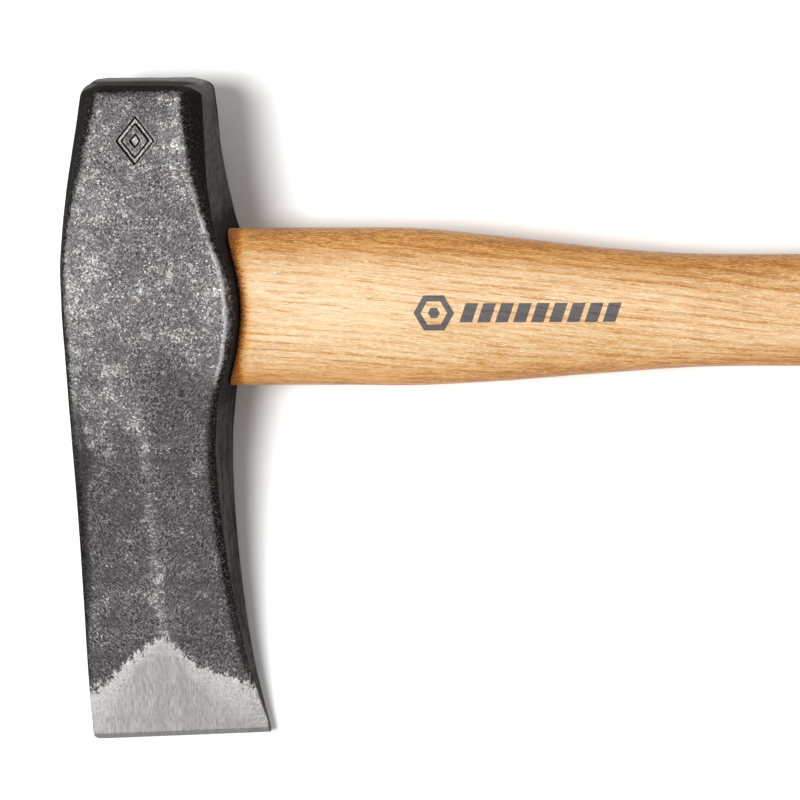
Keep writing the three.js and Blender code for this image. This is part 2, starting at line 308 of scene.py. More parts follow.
class Shader:
    """A material's nodes, built from Principled BSDF backwards."""

    def __init__(self, name):
        self.material = bpy.data.materials.new(name)
        self.material.use_nodes = True
        self.tree = self.material.node_tree
        self.skin = self.tree.nodes["Principled BSDF"]

    def node(self, kind, inputs=(), **settings):
        """A new node with its settings, and numbers or other nodes' sockets put into its inputs."""
        made = self.tree.nodes.new(kind)
        for key, value in settings.items():
            setattr(made, key, value)
        for key, value in dict(inputs).items():
            self.feed(made.inputs[key], value)
        return made

    def feed(self, socket, value):
        if isinstance(value, bpy.types.NodeSocket):
            self.tree.links.new(value, socket)
        elif isinstance(value, (tuple, list, Vector)) and socket.type == "RGBA":
            socket.default_value = (*value[:3], 1)
        else:
            socket.default_value = value

    def set(self, **values):
        """Puts values or sockets into the Principled BSDF's inputs. _ is a space in their names."""
        for key, value in values.items():
            self.feed(self.skin.inputs[key.replace("_", " ")], value)

    @cached_property
    def place(self):
        """The place on the tool, in millimetres along the tool's own axes."""
        where = self.node("ShaderNodeTexCoord").outputs["Object"]
        inputs = {"Vector": where, "Location": EYE, "Rotation": TURN.to_euler(), "Scale": (MM,) * 3}
        return self.node("ShaderNodeMapping", inputs, vector_type="TEXTURE").outputs[0]

    @cached_property
    def axes(self):
        return tuple(self.node("ShaderNodeSeparateXYZ", {0: self.place}).outputs)

    def joined(self, x, y, z):
        return self.node("ShaderNodeCombineXYZ", {0: x, 1: y, 2: z}).outputs[0]

    def turned(self, where, degrees):
        """A place turned about the tool's z."""
        turn = {"Vector": where, "Rotation": (0, 0, math.radians(degrees))}
        return self.node("ShaderNodeMapping", turn).outputs[0]

    def value(self, name):
        """A value that was painted on the mesh."""
        return self.node("ShaderNodeAttribute", attribute_name=name).outputs["Fac"]

    def noise(self, size, detail=3, rough=0.5, stretch=(1, 1, 1), seed=0, warp=0, along=None):
        """Noise from about 0.2 to 0.8, in features about one size wide times their stretch.

        It lies along the tool's own axes, or along the place that is given. Each seed has its own
        part of the noise."""
        inputs = {0: along or self.place, 1: tuple(1 / (size * s) for s in stretch)}
        where = self.node("ShaderNodeVectorMath", inputs, operation="MULTIPLY").outputs[0]
        away = tuple(seed * step for step in SEED_STEPS)
        moved = self.node("ShaderNodeVectorMath", {0: where, 1: away}).outputs[0]
        inputs = {"Vector": moved, "Scale": 1}
        inputs |= {"Detail": detail, "Roughness": rough, "Distortion": warp}
        return self.node("ShaderNodeTexNoise", inputs).outputs["Fac"]

    def reckon(self, operation, a, b=0.0):
        """One arithmetic node. The names below are its operations."""
        return self.node("ShaderNodeMath", {0: a, 1: b}, operation=operation).outputs[0]

    plus = partialmethod(reckon, "ADD")
    minus = partialmethod(reckon, "SUBTRACT")
    times = partialmethod(reckon, "MULTIPLY")
    over = partialmethod(reckon, "DIVIDE")
    modulo = partialmethod(reckon, "MODULO")
    larger = partialmethod(reckon, "MAXIMUM")
    size_of = partialmethod(reckon, "ABSOLUTE")
    root = partialmethod(reckon, "SQRT")
    fraction = partialmethod(reckon, "FRACT")

    def swing(self, value, reach):
        """value, which lies round a half, made to lie round 0 and reach times as wide."""
        return self.times(self.minus(value, 0.5), reach)

    def span(self, value, low, high, to_low=0.0, to_high=1.0, smooth=True):
        """value from low..high to to_low..to_high, held at the ends."""
        settings = {"interpolation_type": "SMOOTHSTEP" if smooth else "LINEAR", "clamp": True}
        inputs = {0: value, 1: low, 2: high, 3: to_low, 4: to_high}
        return self.node("ShaderNodeMapRange", inputs, **settings).outputs[0]

    def mix(self, share, a, b):
        """Colour a, with a share of colour b from 0 to 1."""
        return self.node("ShaderNodeMix", {0: share, 6: a, 7: b}, data_type="RGBA").outputs[2]

    def blend(self, share, a, b):
        """Number a, with a share of number b from 0 to 1."""
        return self.node("ShaderNodeMix", {0: share, 2: a, 3: b}, data_type="FLOAT").outputs[0]

    def bump(self, height, depth):
        """A bump whose height runs from 0 to 1 over depth millimetres."""
        inputs = {"Height": height, "Distance": depth * MM, "Strength": 1.0}
        return self.node("ShaderNodeBump", inputs).outputs[0]


# ---- Head ----------------------------------------------------------------------------------------

break_half = EYE_HALF - (EYE_TOP_Y - CHEEK_BREAK_Y) * EYE_CHEEK_SLOPE
bevel_half = break_half - (CHEEK_BREAK_Y - BEVEL_Y) * BLADE_CHEEK_SLOPE

half_thickness = straight_track([
    (EDGE_Y, EDGE_HALF), (EDGE_Y + MICRO_BEVEL, MICRO_BEVEL_HALF), (BEVEL_Y, bevel_half),
    (CHEEK_BREAK_Y, break_half), (EYE_TOP_Y, EYE_HALF), (20, 26), (32, 25.4),
    (POLL_BREAK_Y, POLL_BREAK_HALF), (POLL_Y, POLL_HALF),
])
far_side = smooth_track([
    (EDGE_Y, -25.9), (-135, -26.2), (-60, -26.5), (-20, -27.5), (10, -28), (40, -25.7),
    (POLL_Y, -21.9),
])
grip_side = smooth_track([
    (EDGE_Y, 33.1), (-118, 27.2), (-92, 23.1), (-62, 20.4), (-42, 20.2), (-27, 22.2), (-12, 26.8),
    (1, 28.5), (12, 27.2), (26, 22.8), (40, 20), (POLL_Y, 16.8),
])
bevel_across = smooth_track([
    (EDGE_Y, 0.1), (-105, 0.8), (-35, 1.8), (0, 2.4), (26, 1.9), (44, 3.5), (66, 5.4),
    (POLL_Y, 5.4),
])
bevel_through = smooth_track([
    (EDGE_Y, 0.1), (-110, 1), (-45, 2.2), (0, 3.4), (41, 6.2), (60, 8), (POLL_Y, 8),
])
blade_crown = smooth_track([
    (EDGE_Y, 0), (EDGE_Y + MICRO_BEVEL, 0.1), (BEVEL_Y, BLADE_CROWN), (-80, BLADE_CROWN),
    (CHEEK_BREAK_Y, 0), (POLL_Y, 0),
])

MARK_X, MARK_Y = -2.9, 56.5
MARK_HALF_WIDTH, MARK_HALF_HEIGHT = 6.5, 8
MARK_LINE, MARK_DEPTH = 2.5, 0.6

SIDE_SPARE = 0.3  # makes up for what softening takes off the sides
FAR_CORNER_SHARE = 0.62  # the poll's corner away from the grip is flatter than the other
FAR_SWELL, GRIP_SWELL = 0.5, 0.3  # how much fuller the sides are between the eye and the poll
UNDER_BEVEL_SHARE = 0.5  # the poll's corner bevels are smaller on the resting side
EDGE_CORNER = 2.0  # radius of the worn corner of the edge away from the grip
GRIP_EDGE_SHARE = 0.3  # the other corner is worn less
CHEEK_SAMPLES, SIDE_SAMPLES, BEVEL_SAMPLES = 74, 28, 7

# The upper end of the ground bevel is an arch: highest in the middle of the crowned cheek.
grind_arch = smooth_track([
    (-27, -127.5), (-21, -123.4), (-14.6, -118), (-9.7, -113), (-4.8, -109.6), (-1, -107.6),
    (4.4, -111.5), (8.3, -115.6), (13.2, -118.4), (21.4, -120.9), (26.3, -123.2), (33, -128.5),
])


def below_arch(x, y):
    """How far a point is below the upper end of the ground bevel."""
    return grind_arch(x) - y


def lozenge_share(x, y):
    """0 at the mark's middle and 1 on its outline."""
    return np.abs(x - MARK_X) / MARK_HALF_WIDTH + np.abs(y - MARK_Y) / MARK_HALF_HEIGHT


def mark_depth(x, y):
    """0 to 1: how deep the stamped mark is pressed."""
    share = lozenge_share(x, y)
    half_line = MARK_LINE / 2 / MARK_HALF_WIDTH
    groove = 1 - smoothstep(0.36, 1.05, np.abs(share - 1 + half_line) / half_line)
    middle = 1 - smoothstep(0.2, 0.34, share)
    return np.maximum(groove, middle)


def head_rings(heights):
    """The head's outline at each height, as a (rows, points, 3) grid."""
    y = heights[:, None]
    into_corner = np.clip(y - (POLL_Y - POLL_CORNER), 0, POLL_CORNER)
    corner = POLL_CORNER - np.sqrt(POLL_CORNER**2 - into_corner**2)
    into_chamfer = np.clip(y - (POLL_Y - POLL_CHAMFER_HEIGHT), 0, POLL_CHAMFER_HEIGHT)
    into_edge = np.clip(EDGE_Y + EDGE_CORNER - y, 0, EDGE_CORNER)
    edge_corner = EDGE_CORNER - np.sqrt(EDGE_CORNER**2 - into_edge**2)
    half = half_thickness(y) - into_chamfer / POLL_CHAMFER_HEIGHT * POLL_CHAMFER_DEPTH
    left = far_side(y) + FAR_CORNER_SHARE * corner + edge_corner
    left = left - SIDE_SPARE * smoothstep(-110, -60, y)
    left = left - FAR_SWELL * smoothstep(4, 18, y) * smoothstep(75, 30, y)
    right = grip_side(y) - corner - GRIP_EDGE_SHARE * edge_corner
    right = right + SIDE_SPARE * smoothstep(28, 36, np.abs(y))
    right = right + GRIP_SWELL * smoothstep(40, 50, y)
    across = bevel_across(y)
    side = np.maximum(half - bevel_through(y), EDGE_HALF / 2)
    squarer = 1 - (1 - UNDER_BEVEL_SHARE) * smoothstep(48, 64, y)
    under_across = across * squarer
    under_side = np.maximum(half - bevel_through(y) * squarer, EDGE_HALF / 2)

    def stretch(start, end, samples, crown=0.0):
        t = np.arange(samples) / samples
        x = start[0] + (end[0] - start[0]) * t
        z = start[1] + (end[1] - start[1]) * t + crown * (1 - np.abs(2 * t - 1) ** 1.6)
        return np.stack([x, z], axis=-1)

    crown = blade_crown(y)
    corners = [
        (right, 0 * y), (right, side), (right - across, half), (left + across, half), (left, side),
        (left, -under_side), (left + under_across, -half), (right - under_across, -half),
        (right, -under_side), (right, 0 * y),
    ]
    samples = [SIDE_SAMPLES, BEVEL_SAMPLES, CHEEK_SAMPLES, BEVEL_SAMPLES, 2 * SIDE_SAMPLES]
    samples += [BEVEL_SAMPLES, CHEEK_SAMPLES, BEVEL_SAMPLES, SIDE_SAMPLES]
    crowns = [0, 0, crown, 0, 0, 0, -crown, 0, 0]
    stretches = [stretch(a, b, n, c) for a, b, n, c in zip(corners, corners[1:], samples, crowns)]
    outline = np.concatenate(stretches, axis=1)
    skew = EDGE_SKEW * outline[..., 0] * np.clip((BEVEL_Y - y) / (BEVEL_Y - EDGE_Y), 0, 1)
    return np.stack([outline[..., 0], y + skew, outline[..., 1]], axis=-1)


def outward(rings):
    """Unit vectors out of a grid of rings."""
    round_ring = np.roll(rings, -1, axis=1) - np.roll(rings, 1, axis=1)
    along = np.gradient(rings, axis=0)
    normal = np.cross(along, round_ring)
    normal /= np.maximum(np.linalg.norm(normal, axis=-1, keepdims=True), 1e-9)
    middle = rings.mean(axis=1, keepdims=True)
    return normal * np.sign((normal * (rings - middle)).sum(axis=-1, keepdims=True).mean())


def forging_relief(points, normals):
    """How far the forged skin lies below its envelope. Only the mark's lip may rise above it."""
    x, y, z = points.T
    waves = 0.26 * (0.5 + 0.5 * lumps(points, 17, 1))
    dents = 0.2 * smoothstep(-0.1, 0.9, lumps(points, 6.5, 2))
    scale = 0.07 * (0.5 + 0.5 * lumps(points, 2.1, 3))
    scale += 0.06 * smoothstep(0.25, 0.8, lumps(points, 1.25, 4))
    ground = smoothstep(-1.5, 1.5, below_arch(x, y) + 1.6 * lumps(points, 3, 5))
    ground *= np.abs(normals[:, 2]) > 0.8
    relief = (waves + dents + scale) * (1 - 0.94 * ground) + 0.05 * ground
    relief *= 1 - 0.8 * smoothstep(0.6, 0.9, np.abs(normals[:, 0]))
    on_near_cheek = (z > 0) & (normals[:, 2] > 0.6)
    mark = mark_depth(x, y) * on_near_cheek
    lip = np.exp(-(((lozenge_share(x, y) - 1.13) / 0.08) ** 2)) * on_near_cheek
    fade = smoothstep(EDGE_Y, EDGE_Y + 6, y)
    return (relief + 0.05) * fade * (1 - 0.6 * mark) + MARK_DEPTH * mark - 0.12 * lip


OVAL_SAMPLES = 128
OVAL_POWER = 0.88


def oval(x, half_height, half_depth, centre_y, samples=OVAL_SAMPLES, power=OVAL_POWER):
    """Rings across the handle's axis; power 1 is an ellipse, and less is fuller."""
    angle = 2 * np.pi * np.arange(samples) / samples
    fuller = [np.sign(v) * np.abs(v) ** power for v in (np.cos(angle), np.sin(angle))]
    y = centre_y[:, None] + half_height[:, None] * fuller[0]
    z = half_depth[:, None] * fuller[1]
    return np.stack([np.broadcast_to(x[:, None], y.shape), y, z], axis=-1)


eye_height = smooth_track([(-30, 24.8), (4, 23.6), (30, 24.1)])
eye_depth = smooth_track([(-30, 13.6), (4, 12.6), (30, 13)])


def eye_cutter():
    x = np.linspace(-34, 34, 18)
    return mesh_object("eye_cutter", oval(x, eye_height(x), eye_depth(x), 0 * x))


def make_head(material):
    # rows of the grid from the poll to the edge, closest together at the mark and the corners
    corner_rows = POLL_Y - POLL_CORNER * (1 - np.sin(np.linspace(np.pi / 2, 0, 12)))
    mark_rows = np.arange(69, 47, -0.45)
    body_rows = np.arange(47, EDGE_Y + 4, -0.85)
    edge_rows = np.linspace(EDGE_Y + 3.4, EDGE_Y, 12)
    heights = np.concatenate([corner_rows, mark_rows, body_rows, edge_rows])
    crisp = head_rings(heights)
    worn = soften(crisp, 1.2, 1.5)
    keep = smoothstep(EDGE_Y + 2, EDGE_Y + 10, heights)[:, None, None]
    rings = crisp + (worn - crisp) * keep
    normals = outward(rings)
    relief = forging_relief(rings.reshape(-1, 3), normals.reshape(-1, 3)).reshape(rings.shape[:2])
    rings = rings - normals * relief[..., None]

    # the poll's end face: a low crown, with nothing above the CAD model's
    top = rings[0]
    middle = top.mean(axis=0)
    shares = np.linspace(0.06, 0.97, 17)[:, None, None]
    cap = middle + (top - middle) * shares
    cap[..., 1] += POLL_CROWN * (1 - shares[..., 0] ** 2)
    uneven = (1 + lumps(cap.reshape(-1, 3), 5, 8)).reshape(cap.shape[:2])
    cap[..., 1] -= 0.1 * uneven * (1 - shares[..., 0] ** 4)
    rings = np.concatenate([cap, rings])
    too_high = max(0, rings[..., 1].max() - POLL_Y)
    rings[..., 1] -= too_high * smoothstep(POLL_Y - 6, POLL_Y, rings[..., 1])

    head = mesh_object("head_forging", rings, end_cap="strip")
    cut_away(head, eye_cutter())
    paint_head(head)
    finish_piece(head, "head", material, sharp_angle=50)


WEAR_SPOTS = [  # more or less wear round a place: amount, x, y, width and height
    (0.07, 11, 46, 5, 11), (0.16, -19, 8, 7, 22), (0.1, 21, 4, 5, 12), (0.12, -18, 40, 6, 12),
    (-0.36, 1, -21, 11, 11), (-0.2, -21, -20, 6, 6), (-0.12, -2, 62, 9, 9),
]


def paint_head(head):
    """Point values that the steel reads.

    rim, fall, ground and from_edge are distances in millimetres from the cheek's rim, the side's
    flat, the grinding's arch and the cutting edge. margin is how much further in the lacquer
    reaches. The others run from 0 to about 1."""
    points = tool_points(head)
    x, y, z = points.T
    normals = np.empty(len(points) * 3)
    head.data.vertex_normals.foreach_get("vector", normals)
    normals = normals.reshape(-1, 3)
    across = bevel_across(y)
    far_rim, near_rim = x - far_side(y) - across, grip_side(y) - across - x
    poll_end = 1.7 * (POLL_Y - POLL_CHAMFER_HEIGHT + 0.1 - y)
    rim = np.minimum(np.minimum(near_rim, far_rim), poll_end)
    side = half_thickness(y) - bevel_through(y)
    put_value(head, "rim", rim)
    put_value(head, "fall", np.abs(z) - side)
    poll_rim = smoothstep(3, -4, z - 3 * smoothstep(8, 14, x))
    put_value(head, "poll_rim", poll_rim * smoothstep(POLL_Y - 1.8, POLL_Y - 0.9, y))
    margin = 1.2 * smoothstep(10, 24, x) * smoothstep(-36, -60, y) * smoothstep(-128, -112, y)
    margin -= 1.4 * smoothstep(8, 20, x) * np.exp(-(((y - 2) / 17) ** 2))
    margin -= 0.7 * smoothstep(-8, -20, x) * smoothstep(38, 10, y) * smoothstep(-70, -40, y)
    margin += 0.5 * smoothstep(-8, -20, x) * smoothstep(-30, -45, y) * smoothstep(-112, -100, y)
    margin += 0.6 * smoothstep(-6, -12, x) * smoothstep(40, 68, y)
    put_value(head, "margin", margin)
    reach = 4 + 3.5 * np.exp(-(((y + 46) / 9) ** 2)) + 1.6 * lumps(points, 9, 17)
    edge_shade = 0.8 * smoothstep(reach, 0.35 * reach, far_rim)
    edge_shade += 0.5 * smoothstep(2.4, 0.6, near_rim)
    put_value(head, "edge_shade", edge_shade * smoothstep(-20, -34, y) * smoothstep(-110, -86, y))
    put_value(head, "poll", smoothstep(0.955, 0.985, normals[:, 1]))
    put_value(head, "ground", np.where(np.abs(normals[:, 2]) > 0.5, below_arch(x, y), -20))
    put_value(head, "from_edge", y - EDGE_Y - EDGE_SKEW * x)
    # where the side is darkened next to the handle: painted shade, with dark lacquer
    lacquer_and_shade_near_wood = smoothstep(34, 27, np.abs(y)) * smoothstep(0, 14, x)
    put_value(head, "lacquer_and_shade_near_wood", 0.85 * lacquer_and_shade_near_wood * smoothstep(0.6, -0.6, np.abs(z) - side))
    put_value(head, "mark", mark_depth(x, y) * (normals[:, 2] > 0.2))

    lower_end = -16 - 26 * smoothstep(8, -8, x)  # worn skin reaches further down on the far half
    upper = smoothstep(-16, 16, y - lower_end + 8 * lumps(points, 9, 15))
    calm = 0.45 + 0.55 * upper
    wear = 0.1 + 0.36 * upper + calm * (0.18 * lumps(points, 21, 11) + 0.12 * lumps(points, 9, 12))
    wear += 0.08 * upper * smoothstep(7, 0, rim) * smoothstep(75, 55, y)
    wear -= 0.06 * smoothstep(30, 45, y)
    for amount, place_x, place_y, wide, high in WEAR_SPOTS:
        wear += amount * np.exp(-(((x - place_x) / wide) ** 2 + ((y - place_y) / high) ** 2))
    wear += 0.08 * smoothstep(-78, -100, y)
    streak_x = np.interp(y, [-110, -85, -63, -41, -20], [-0.5, -1.8, -2.2, -4, -6])
    streak_x += 0.9 * lumps(points, 6, 13)
    streak = np.exp(-(((x - streak_x) / 1.7) ** 2)) + 0.3 * np.exp(-(((x - streak_x) / 5) ** 2))
    wear += 0.42 * streak * smoothstep(-15, -45, y) * (0.75 + 0.4 * lumps(points, 9, 14))
    put_value(head, "wear", wear)


# Colours of the steel: its scale, bare metal, lacquer, mark and ground bevel, and the painted shade
# and highlights on the sides.
SCALE, WORN_SCALE = (0.064, 0.061, 0.062), (0.134, 0.129, 0.131)
RAISED, WORN_RAISED = (0.212, 0.204, 0.205), (0.335, 0.326, 0.327)
VALLEY, DARK_SCALE = (0.02, 0.019, 0.019), (0.03, 0.028, 0.028)
HAIR, SCRATCH = (0.27, 0.26, 0.258), (0.36, 0.35, 0.345)
FLAKE_DARK, FLAKE_BRIGHT = (0.1, 0.097, 0.097), (0.5, 0.49, 0.486)
SQUIGGLE, SPECK = (0.46, 0.45, 0.445), (0.62, 0.61, 0.603)
LACQUER, LACQUER_SPECK = (0.0066, 0.0052, 0.0049), (0.13, 0.122, 0.119)
SIDE_DARK, SIDE_GREY = (0.0135, 0.0118, 0.0114), (0.066, 0.059, 0.058)
SIDE_PALE_AND_HIGHLIGHT, RIDGE_HIGHLIGHT_GREY = (0.12, 0.114, 0.113), (0.12, 0.112, 0.11)
LACQUER_AND_SHADE_BY_WOOD, RUBBED = (0.0045, 0.0038, 0.0036), (0.55, 0.54, 0.53)
POLL_DARK, POLL_GREY = (0.0065, 0.0056, 0.0053), (0.04, 0.037, 0.036)
POLL_RIM_DARK, POLL_RIM_PALE = (0.1, 0.096, 0.095), (0.27, 0.262, 0.258)
MARK_WALL, MARK_LIP = (0.005, 0.0045, 0.0045), (0.45, 0.44, 0.43)
MARK_FLOOR_DARK, MARK_FLOOR_BRIGHT = (0.2, 0.195, 0.193), (0.5, 0.49, 0.485)
LINE_DARK, LINE_BRIGHT = (0.265, 0.257, 0.254), (0.565, 0.552, 0.545)
BAND, GRIP_END = (0.3, 0.291, 0.288), (0.22, 0.213, 0.21)
FROST, SPLASH = (0.62, 0.61, 0.602), (0.4, 0.39, 0.385)
EDGE_LINE = (0.2, 0.196, 0.194)


def steel_skin():
    s = Shader("forged_steel_skin")
    rim, fall, wear = s.value("rim"), s.value("fall"), s.value("wear")

    # forged scale: dark skin with fine tooling that leans away from the middle on both sides
    cloud = s.noise(6.5, 5, 0.6, seed=1, warp=0.6)
    grain = s.noise(1.2, 5, 0.75, seed=2)
    speck = s.noise(0.6, 3, 0.7, seed=3)
    x, y, z = s.axes
    slant = s.turned(s.joined(s.size_of(s.plus(x, 2.0)), y, z), 38)
    worms = s.noise(0.46, 3, 0.7, stretch=(1, 2.1, 1), seed=4, warp=0.5, along=slant)
    hairs = s.noise(0.4, 2, 0.6, stretch=(1, 16, 1), seed=5, along=slant)
    worn = s.plus(s.swing(cloud, 0.8), wear)
    skin = s.mix(s.span(worn, 0.0, 0.8), SCALE, WORN_SCALE)
    raised = s.mix(s.span(worn, 0.0, 0.8), RAISED, WORN_RAISED)
    vivid = s.span(s.noise(6, 3, 0.6, seed=16), 0.41, 0.56, 0.45, 1)
    vivid = s.times(vivid, s.span(worn, 0.3, 0.6, 1, 0.7))
    skin = s.mix(s.times(vivid, s.span(worms, 0.485, 0.6, 0.0, 0.9)), skin, raised)
    skin = s.mix(s.times(vivid, s.span(worms, 0.485, 0.39, 0.0, 0.9)), skin, VALLEY)
    skin = s.mix(s.span(hairs, 0.62, 0.72, 0, 0.4), skin, HAIR)
    long_scratch = s.noise(0.34, 1, 0.5, stretch=(1, 55, 9), seed=14, along=s.turned(s.place, -61))
    skin = s.mix(s.span(long_scratch, 0.75, 0.8, 0, 0.7), skin, SCRATCH)
    pits = s.span(s.plus(grain, s.times(worn, 0.05)), 0.39, 0.34)
    skin = s.mix(s.times(pits, 0.7), skin, DARK_SCALE)

    # rubbed to bare metal in crisp granular flakes, specks and squiggles
    lift = s.plus(s.times(worn, 0.2), s.span(s.noise(5, 3, 0.6, seed=19), 0.3, 0.7, -0.06, 0.05))
    large = s.span(s.plus(s.noise(4.2, 5, 0.68, seed=6, warp=0.6), lift), 0.655, 0.685)
    small = s.span(s.plus(s.noise(1.5, 4, 0.66, seed=7, warp=0.6), lift), 0.675, 0.7)
    flakes = s.larger(large, small)
    flake_tone = s.mix(s.span(speck, 0.43, 0.56), FLAKE_DARK, FLAKE_BRIGHT)
    skin = s.mix(s.times(flakes, 0.62), skin, flake_tone)
    specks = s.span(s.plus(s.noise(0.8, 2, 0.6, seed=8), lift), 0.7, 0.745)
    squiggle = s.size_of(s.minus(s.noise(2.3, 2, 0.5, seed=9, warp=1.6), 0.5))
    squiggle = s.times(s.span(squiggle, 0.03, 0.008), s.span(worn, 0.15, 0.75, 0.12, 1))
    squiggle = s.times(squiggle, s.span(s.noise(1.3, 2, 0.6, seed=18), 0.46, 0.56))
    skin = s.mix(s.times(squiggle, 0.7), skin, SQUIGGLE)
    skin = s.mix(s.times(specks, 0.75), skin, SPECK)

    # black lacquer left in the corner bevels, and a greyer coat on the sides, with painted shade
    # next to the handle and painted highlights on the sides
    ragged = s.swing(s.noise(2.0, 4, 0.6, seed=10), 3.0)
    crumbs = s.swing(s.noise(0.6, 3, 0.7, seed=11), 4.5)
    inside = s.minus(s.plus(s.plus(rim, ragged), crumbs), s.value("margin"))
    on_cheek = s.span(inside, -0.5, 0.3)
    fading = s.span(inside, 1.8, 0.2, 0, 0.45)
    skin = s.mix(fading, skin, DARK_SCALE)
    shade = s.plus(s.value("edge_shade"), s.times(crumbs, 0.26))
    shade = s.plus(shade, s.times(ragged, 0.4))
    skin = s.mix(s.span(shade, 0.35, 0.65, 0, 0.68), skin, DARK_SCALE)
    coat_specks = s.span(s.noise(0.6, 3, 0.7, seed=15), 0.55, 0.64, 0, 0.8)
    coat_specks = s.times(coat_specks, s.span(s.plus(rim, ragged), -3.5, -0.5, 0.2, 1))
    coat_specks = s.times(coat_specks, s.span(y, 71, 69, 0.2, 1))
    black = s.mix(coat_specks, LACQUER, LACQUER_SPECK)
    mottle = s.noise(2.2, 6, 0.72, seed=12, stretch=(1, 1.5, 2.5))
    rubbed = s.noise(1.6, 4, 0.6, seed=17, stretch=(1, 14, 2.5))
    side_tone = s.span(s.blend(s.span(y, 20, -20, 0.1, 0.6), mottle, rubbed), 0.39, 0.61)
    side_coat = s.mix(side_tone, SIDE_DARK, SIDE_GREY)
    # paler toward the poll, and a painted highlight on the side by the poll's corner
    paler_side_and_corner_highlight = s.plus(s.span(y, 18, 44, 0, 0.3), s.span(y, 64, 71, 0, 0.3))
    side_coat = s.mix(paler_side_and_corner_highlight, side_coat, SIDE_PALE_AND_HIGHLIGHT)
    black = s.mix(s.span(y, -84, -112, 0, 0.35), black, side_coat)
    on_side = s.span(s.plus(fall, s.times(ragged, 0.2)), 0.35, -0.35)
    coat = s.mix(on_side, black, side_coat)
    # painted highlight: a paler line along the ridge where the side meets its corner bevel
    painted_ridge_highlight = s.span(s.size_of(s.plus(fall, 0.3)), 0.7, 0.0, 0, 0.55)
    coat = s.mix(s.times(painted_ridge_highlight, s.span(grain, 0.4, 0.56)), coat, RIDGE_HIGHLIGHT_GREY)
    # painted shade, with dark lacquer: the side darkened next to the handle
    coat = s.mix(s.value("lacquer_and_shade_near_wood"), coat, LACQUER_AND_SHADE_BY_WOOD)
    poll_tone = s.mix(s.span(grain, 0.45, 0.7), POLL_DARK, POLL_GREY)
    coat = s.mix(s.value("poll"), coat, poll_tone)
    rim_tone = s.mix(s.span(grain, 0.3, 0.7), POLL_RIM_DARK, POLL_RIM_PALE)
    coat = s.mix(s.value("poll_rim"), coat, rim_tone)
    colour = s.mix(on_cheek, coat, skin)
    ridge = s.minus(s.plus(rim, s.times(ragged, 0.5)), 0.5)
    ridge = s.plus(ridge, s.times(crumbs, 0.3))
    rub = s.times(s.span(s.size_of(ridge), 0.95, 0.3), s.span(x, -6, 12, 0.12, 1))
    rub = s.times(rub, s.span(s.plus(wear, s.noise(5, 4, 0.7, seed=13)), 0.7, 0.96))
    rub = s.times(rub, s.times(s.span(speck, 0.33, 0.48), s.span(s.size_of(y), 48, 28)))
    colour = s.mix(s.times(rub, 0.8), colour, RUBBED)

    # the stamped mark: black walls, a brighter floor and rubbed lips
    mark = s.value("mark")
    colour = s.mix(s.span(mark, 0.03, 0.14, 0, 0.97), colour, MARK_WALL)
    floor_tone = s.mix(s.span(speck, 0.4, 0.6), MARK_FLOOR_DARK, MARK_FLOOR_BRIGHT)
    colour = s.mix(s.span(mark, 0.9, 0.985, 0, 0.92), colour, floor_tone)
    lip = s.times(s.span(mark, 0.0, 0.03), s.span(mark, 0.14, 0.05))
    colour = s.mix(s.times(lip, 0.7), colour, MARK_LIP)

    # ground bevel: bright steel with lines square to the edge, and a torn, frosted upper border
    border = s.swing(s.noise(2.6, 6, 0.8, seed=20, stretch=(1, 1.5, 1)), 15)
    ground = s.plus(s.value("ground"), border)
    tear = s.swing(s.noise(0.75, 4, 0.75, seed=21, stretch=(1, 1.7, 1)), 11)
    torn = s.plus(ground, tear)
    bright = s.span(torn, -0.4, 0.5)
    lines = s.noise(0.26, 4, 0.8, stretch=(1, 14, 6), seed=22)
    bands = s.noise(4.5, 3, 0.5, stretch=(1, 9, 4), seed=23)
    steel = s.mix(s.span(lines, 0.32, 0.68), LINE_DARK, LINE_BRIGHT)
    steel = s.mix(s.span(bands, 0.42, 0.66, 0, 0.32), steel, BAND)
    right_end = s.span(s.plus(x, s.swing(cloud, 12)), 20, 31, 0, 0.6)
    steel = s.mix(right_end, steel, GRIP_END)
    frost_reach = s.span(s.size_of(s.plus(x, 1.0)), 5, 24, 7, 22)
    frost = s.span(s.noise(0.62, 4, 0.72, seed=24), 0.43, 0.52)
    frost = s.times(s.span(s.over(torn, frost_reach), 1, 0.1), frost)
    steel = s.mix(s.times(frost, 0.8), steel, FROST)
    lip_line = s.span(s.value("from_edge"), MICRO_BEVEL + 0.25, MICRO_BEVEL - 0.15)
    steel = s.mix(s.times(lip_line, 0.5), steel, EDGE_LINE)
    splash = s.span(s.noise(0.8, 3, 0.7, seed=25, stretch=(1, 1.6, 1)), 0.58, 0.66)
    splash = s.times(s.span(torn, -4.5, 0), splash)
    colour = s.mix(s.times(splash, 0.6), colour, SPLASH)
    colour = s.mix(bright, colour, steel)

    coat_rough, skin_rough = s.span(grain, 0.3, 0.7, 0.62, 0.8), s.span(grain, 0.3, 0.7, 0.42, 0.6)
    rough = s.blend(on_cheek, coat_rough, skin_rough)
    rough = s.blend(bright, rough, s.span(lines, 0.3, 0.7, 0.54, 0.66))
    metal = s.blend(on_cheek, 0.0, 0.85)
    metal = s.blend(bright, metal, 1.0)

    height = s.plus(s.times(grain, 0.35), s.times(worms, 0.45))
    height = s.minus(height, s.times(pits, 0.1))
    height = s.plus(height, s.times(flakes, 0.12))
    height = s.times(height, s.times(s.blend(bright, 1.0, 0.1), s.blend(on_cheek, 0.4, 1.0)))
    height = s.plus(height, s.times(s.times(lines, bright), 0.1))
    s.set(Base_Color=colour, Roughness=rough, Metallic=metal, Normal=s.bump(height, 0.55))
    s.set(Specular_IOR_Level=0.04)
    return s.material


# ---- Handle --------------------------------------------------------------------------------------

